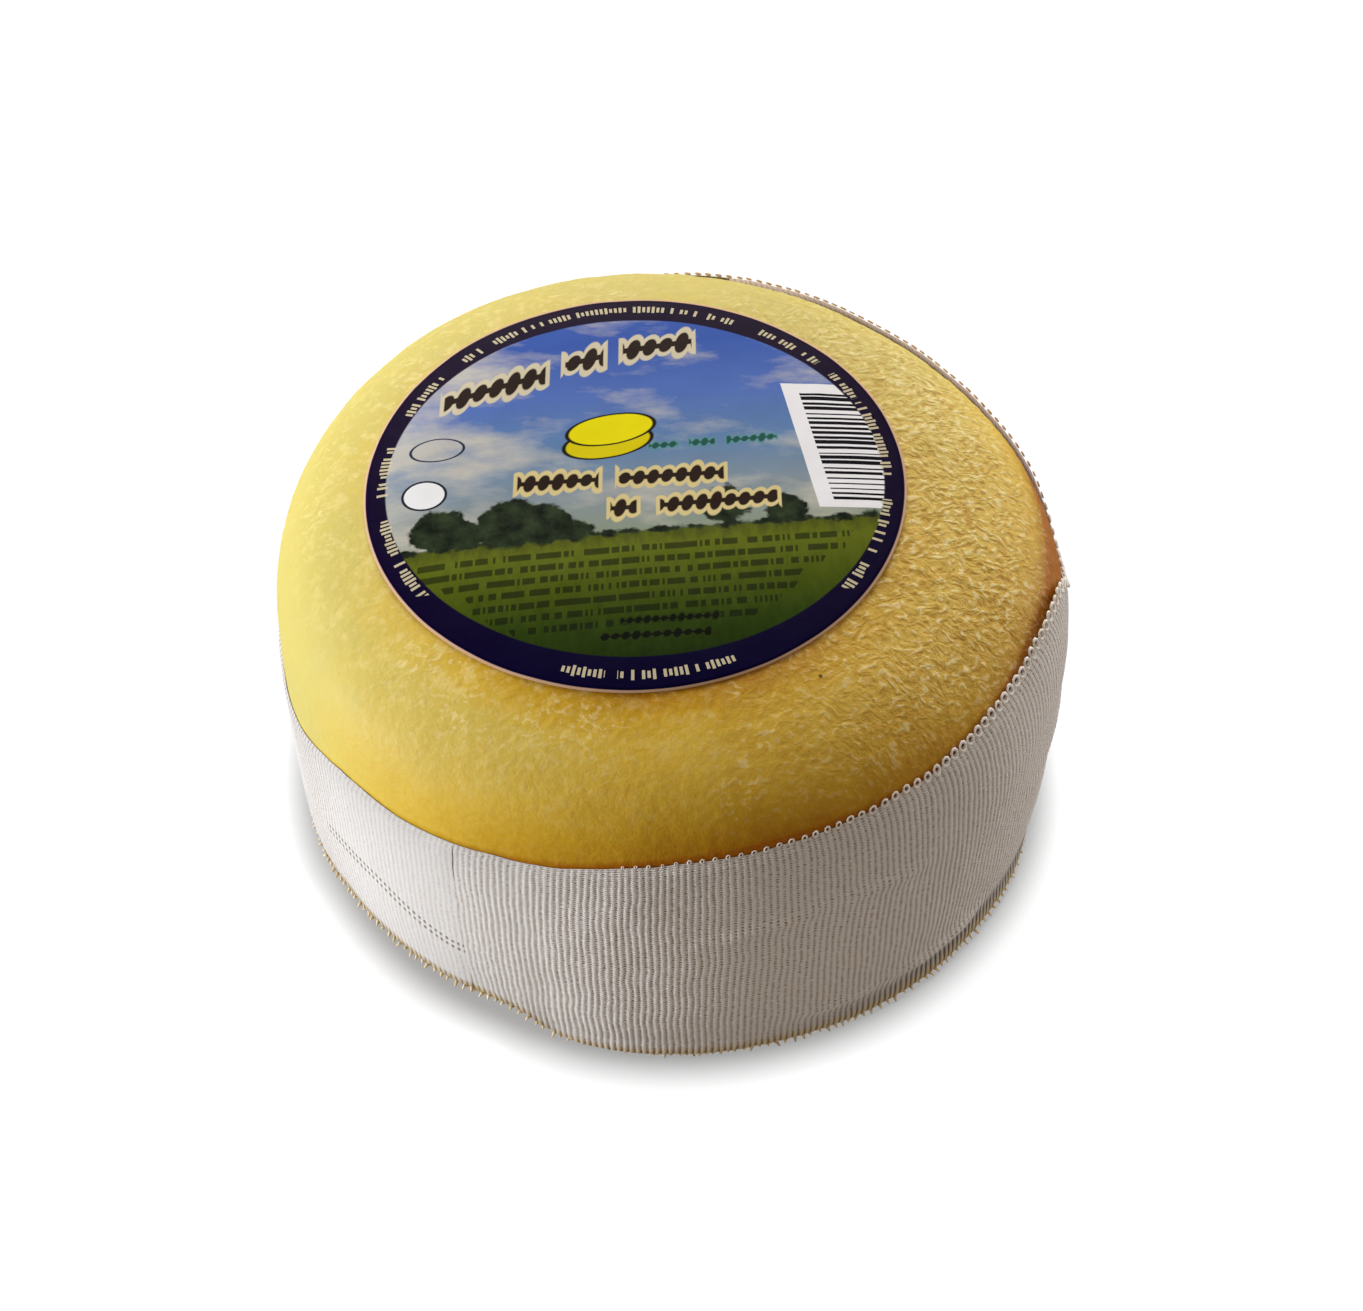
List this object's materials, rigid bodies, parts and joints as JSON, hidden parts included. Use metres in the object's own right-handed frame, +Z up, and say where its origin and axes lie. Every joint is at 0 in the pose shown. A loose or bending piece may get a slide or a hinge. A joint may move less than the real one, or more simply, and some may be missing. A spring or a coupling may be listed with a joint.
{
  "type": "cheese wheel",
  "caption": "Small whole cheese wheel with a waxy yellow rind, a white gauze band round its side and a round printed paper label on top.",
  "frame": {"origin": "centre of the wheel's outline, on the surface that it stands on", "axes": "+Z up along the wheel's axis, through the label; -Y is the front, which the label's picture stands upright to; +X to the right seen from the front"},
  "size_m": [0.1348, 0.136, 0.0686],
  "materials": {
    "waxy_rind": "waxed cured-cheese rind, butter yellow to amber, fine cloth-press wrinkles, half gloss",
    "crepe_gauze": "white crepe gauze bandage, upright ribs about 1.2 mm apart, woven edges",
    "printed_paper": "printed gloss-coated paper label, indigo ring round a plain meadow picture"
  },
  "bodies": {
    "root": {"cheese_wheel": "waxy_rind", "gauze_band": "crepe_gauze", "paper_label": "printed_paper"}
  },
  "joints": []
}
